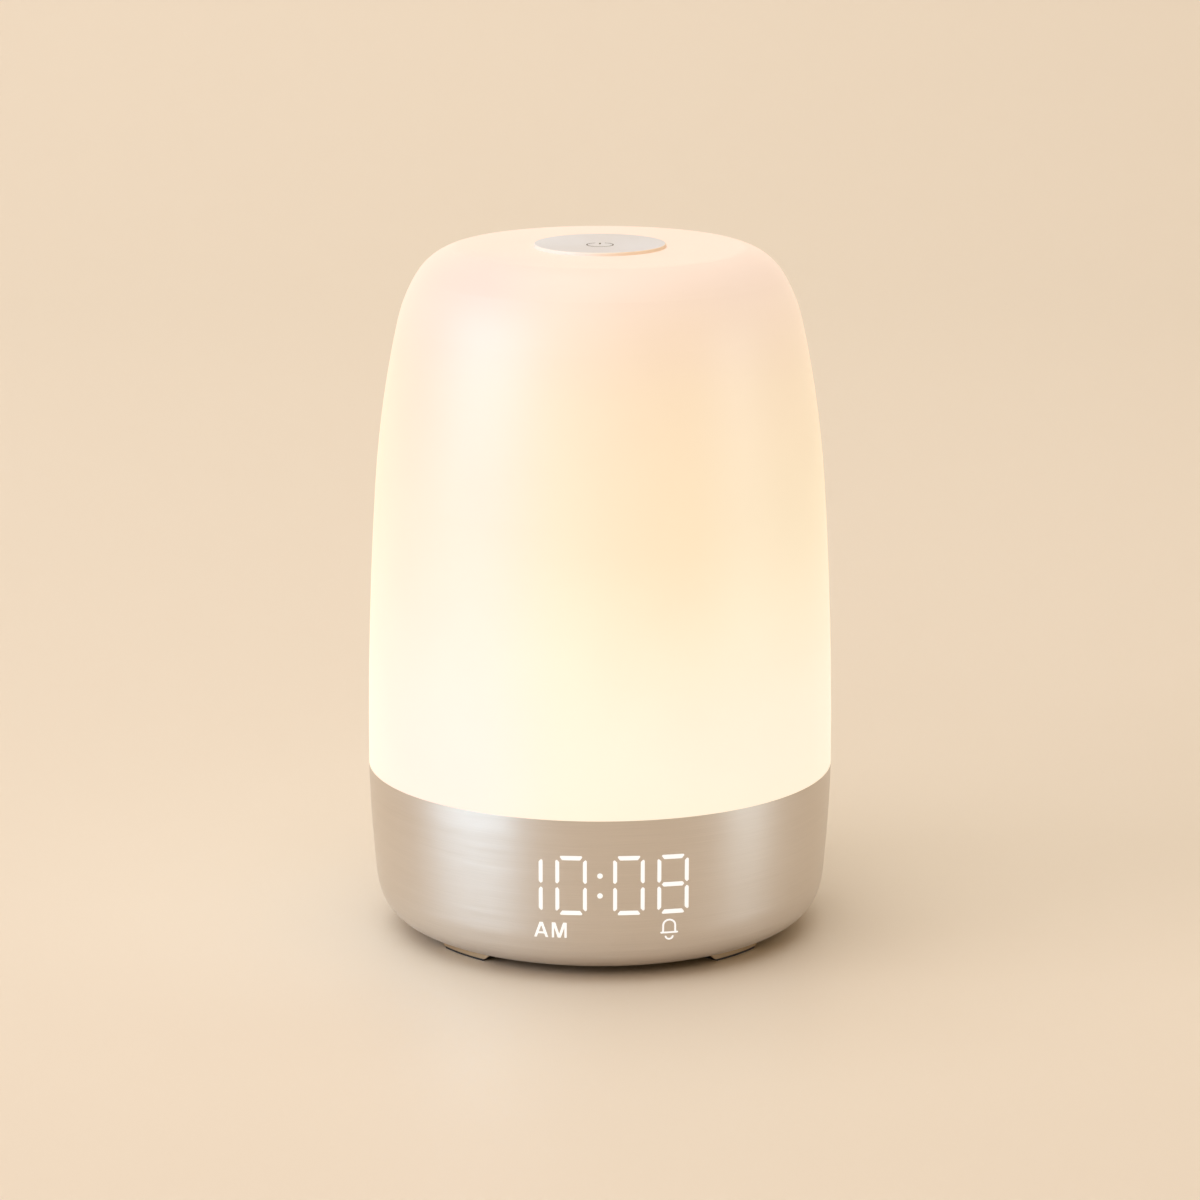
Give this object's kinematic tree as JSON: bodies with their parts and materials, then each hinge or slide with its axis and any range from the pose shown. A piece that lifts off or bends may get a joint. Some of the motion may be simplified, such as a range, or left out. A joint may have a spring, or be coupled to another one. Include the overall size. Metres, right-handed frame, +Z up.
{
  "type": "sunrise alarm clock",
  "caption": "Bedside wake-up light and alarm clock: tall frosted dome shade on a round brushed metal base with a hidden digital display and rear keys.",
  "frame": {"origin": "centre of the base on the surface it stands on (bottom centre of the bounding box)", "axes": "+Z up along the axis of the shade; the display faces -Y and the rear keys and charging socket face +Y; +X is to the right seen from the front"},
  "size_m": [0.11, 0.11, 0.1633],
  "materials": {
    "button_plastic": "satin",
    "capacitor_can": "drawn can",
    "cell_foil": "laminate pouch",
    "champagne_metal": "brushed champagne, clear anodised",
    "chassis_plastic": "moulded, fine spark texture",
    "chip_black": "moulded epoxy",
    "circuit_board": "green solder mask",
    "connector_ivory": "moulded",
    "cover_plastic": "fine spark texture",
    "fastener": "zinc plated",
    "ferrite": "ferrite magnet with steel cup",
    "film": "smoked diffusing film",
    "foam": "closed-cell foam",
    "foot_rubber": "matt",
    "lead_red": "silicone insulated",
    "led_chip": "white chip",
    "led_phosphor": "yellow phosphor dome",
    "light_pipe": "milky",
    "metal_core_board": "white solder mask on aluminium core",
    "panel_plastic": "fine spark texture",
    "paper_cone": "pressed paper",
    "plunger_plastic": "moulded",
    "ribbon_white": "flat flexible cable",
    "shade": "frosted translucent, lit warm from inside",
    "socket_steel": "plated",
    "speaker_steel": "black passivated",
    "switch_housing": "pressed steel cover",
    "tongue_black": "moulded",
    "touch_metal": "satin nickel",
    "white_plastic": "moulded white"
  },
  "bodies": {
    "clock_body": {"diffuser_shade": "shade", "touch_plate": "touch_metal", "touch_nut": "fastener", "touch_post": "white_plastic", "touch_wire": "lead_red", "base_shell": "champagne_metal", "chassis": "chassis_plastic", "light_board": "metal_core_board", "light_leds": "led_phosphor", "light_board_screws": "fastener", "light_leads": "lead_red", "reflector_dish": "white_plastic", "display_film": "film", "display_reflector": "white_plastic", "display_light_pipes": "light_pipe", "display_leds": "led_chip", "display_board": "circuit_board", "display_ribbon": "ribbon_white", "main_board": "circuit_board", "board_chips": "chip_black", "capacitors": "capacitor_can", "board_plugs": "connector_ivory", "main_board_screws": "fastener", "rear_panel": "panel_plastic", "rear_board": "circuit_board", "rear_board_screws": "fastener", "rear_ribbon": "ribbon_white", "switch_bodies": "switch_housing", "usb_socket": "socket_steel", "usb_tongue": "tongue_black", "battery_cell": "cell_foil", "battery_pad": "foam", "battery_leads": "lead_red", "speaker_basket": "speaker_steel", "speaker_cone": "paper_cone", "speaker_magnet": "ferrite", "speaker_gasket": "foam", "speaker_leads": "lead_red", "bottom_cover": "cover_plastic", "bottom_cover_screws": "fastener", "rubber_feet": "foot_rubber"},
    "key_clock": {"button_clock": "button_plastic", "plunger_clock": "plunger_plastic"},
    "key_alarm": {"button_alarm": "button_plastic", "plunger_alarm": "plunger_plastic"},
    "key_sound": {"button_sound": "button_plastic", "plunger_sound": "plunger_plastic"},
    "key_minus": {"button_minus": "button_plastic", "plunger_minus": "plunger_plastic"},
    "key_plus": {"button_plus": "button_plastic", "plunger_plus": "plunger_plastic"}
  },
  "joints": [
    {"name": "press_clock", "type": "slide", "parent": "clock_body", "child": "key_clock", "axis": [0, -1, 0], "range_m": [0, 0.0005], "stiffness_N_per_m": 2000},
    {"name": "press_alarm", "type": "slide", "parent": "clock_body", "child": "key_alarm", "axis": [0, -1, 0], "range_m": [0, 0.0005], "stiffness_N_per_m": 2000},
    {"name": "press_sound", "type": "slide", "parent": "clock_body", "child": "key_sound", "axis": [0, -1, 0], "range_m": [0, 0.0005], "stiffness_N_per_m": 2000},
    {"name": "press_minus", "type": "slide", "parent": "clock_body", "child": "key_minus", "axis": [0, -1, 0], "range_m": [0, 0.0005], "stiffness_N_per_m": 2000},
    {"name": "press_plus", "type": "slide", "parent": "clock_body", "child": "key_plus", "axis": [0, -1, 0], "range_m": [0, 0.0005], "stiffness_N_per_m": 2000}
  ]
}
